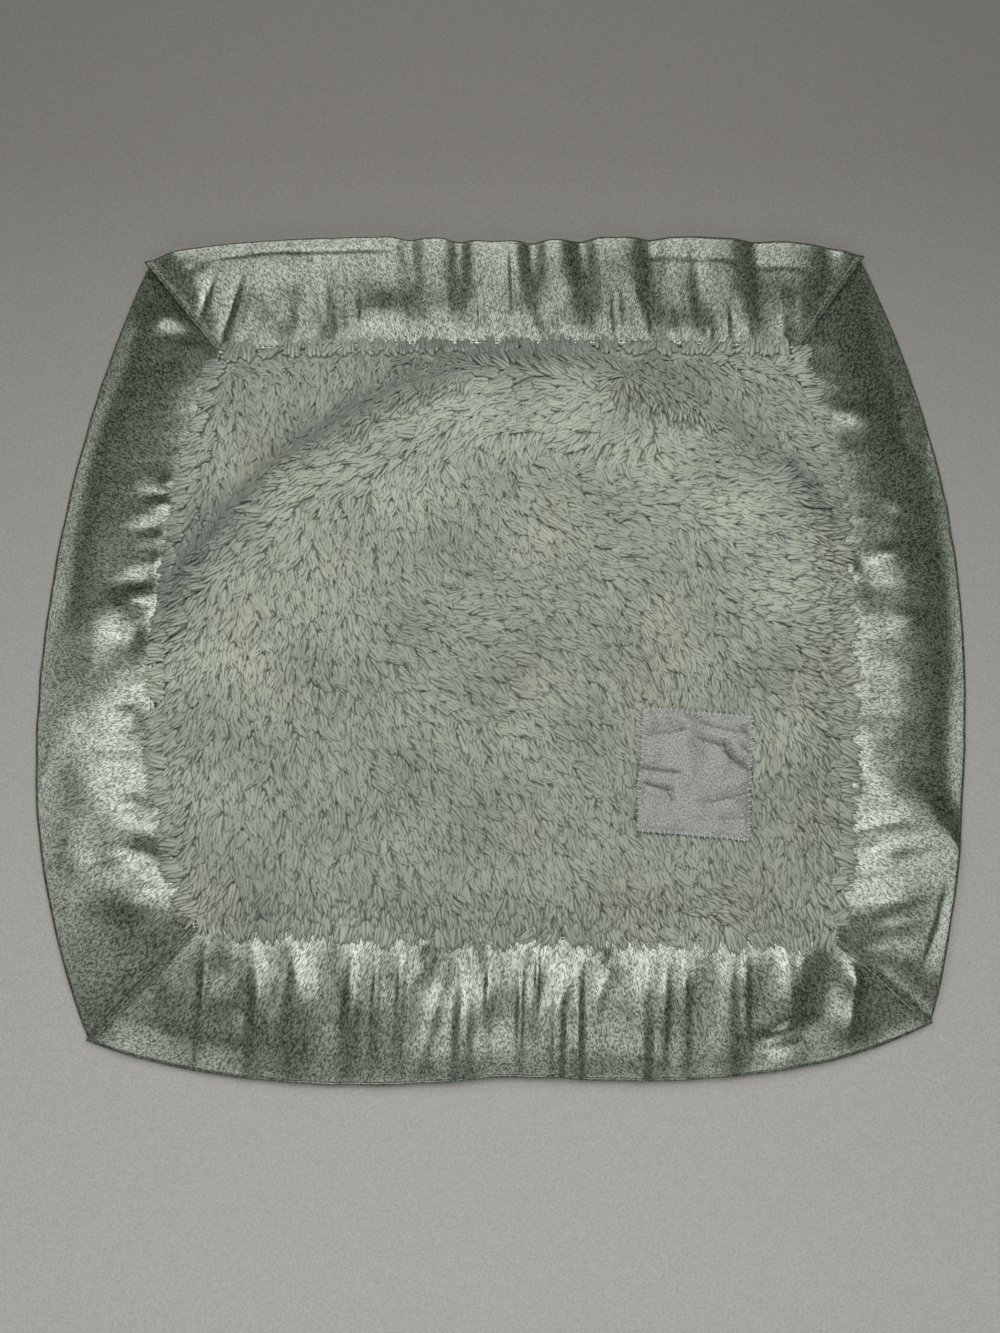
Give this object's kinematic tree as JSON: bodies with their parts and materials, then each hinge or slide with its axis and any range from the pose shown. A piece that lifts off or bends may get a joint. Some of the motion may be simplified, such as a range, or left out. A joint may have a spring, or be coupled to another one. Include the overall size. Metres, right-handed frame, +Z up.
{
  "type": "comfort blanket",
  "caption": "Small square comfort blanket with a plush front, a satin back, a wide gathered satin border with mitred corners, and a bare sewn-on label patch.",
  "frame": {"origin": "on the table, under the middle of the box round the whole blanket as it lies flat, plush side up", "axes": "+X to the blanket's right and +Y to its top edge, seen from above with the label at the lower right; +Z up, out of the plush"},
  "size_m": [0.3694, 0.346, 0.0176],
  "materials": {
    "plush": "matt sage green pile in fine clumped locks",
    "satin": "glossy sage green polyester satin with a fine slanting grain",
    "label": "semi-gloss grey-white woven label, bare",
    "thread": "semi-matt polyester sewing thread"
  },
  "bodies": {
    "root": {"front_plush_panel": "plush", "back_satin_panel": "satin", "border_strip_top": "satin", "border_strip_right": "satin", "border_strip_bottom": "satin", "border_strip_left": "satin", "border_seam_top": "thread", "border_seam_right": "thread", "border_seam_bottom": "thread", "border_seam_left": "thread", "mitre_seam_top_left": "thread", "mitre_seam_top_right": "thread", "mitre_seam_bottom_right": "thread", "mitre_seam_bottom_left": "thread", "label_patch": "label", "label_stitching": "thread"}
  },
  "joints": []
}
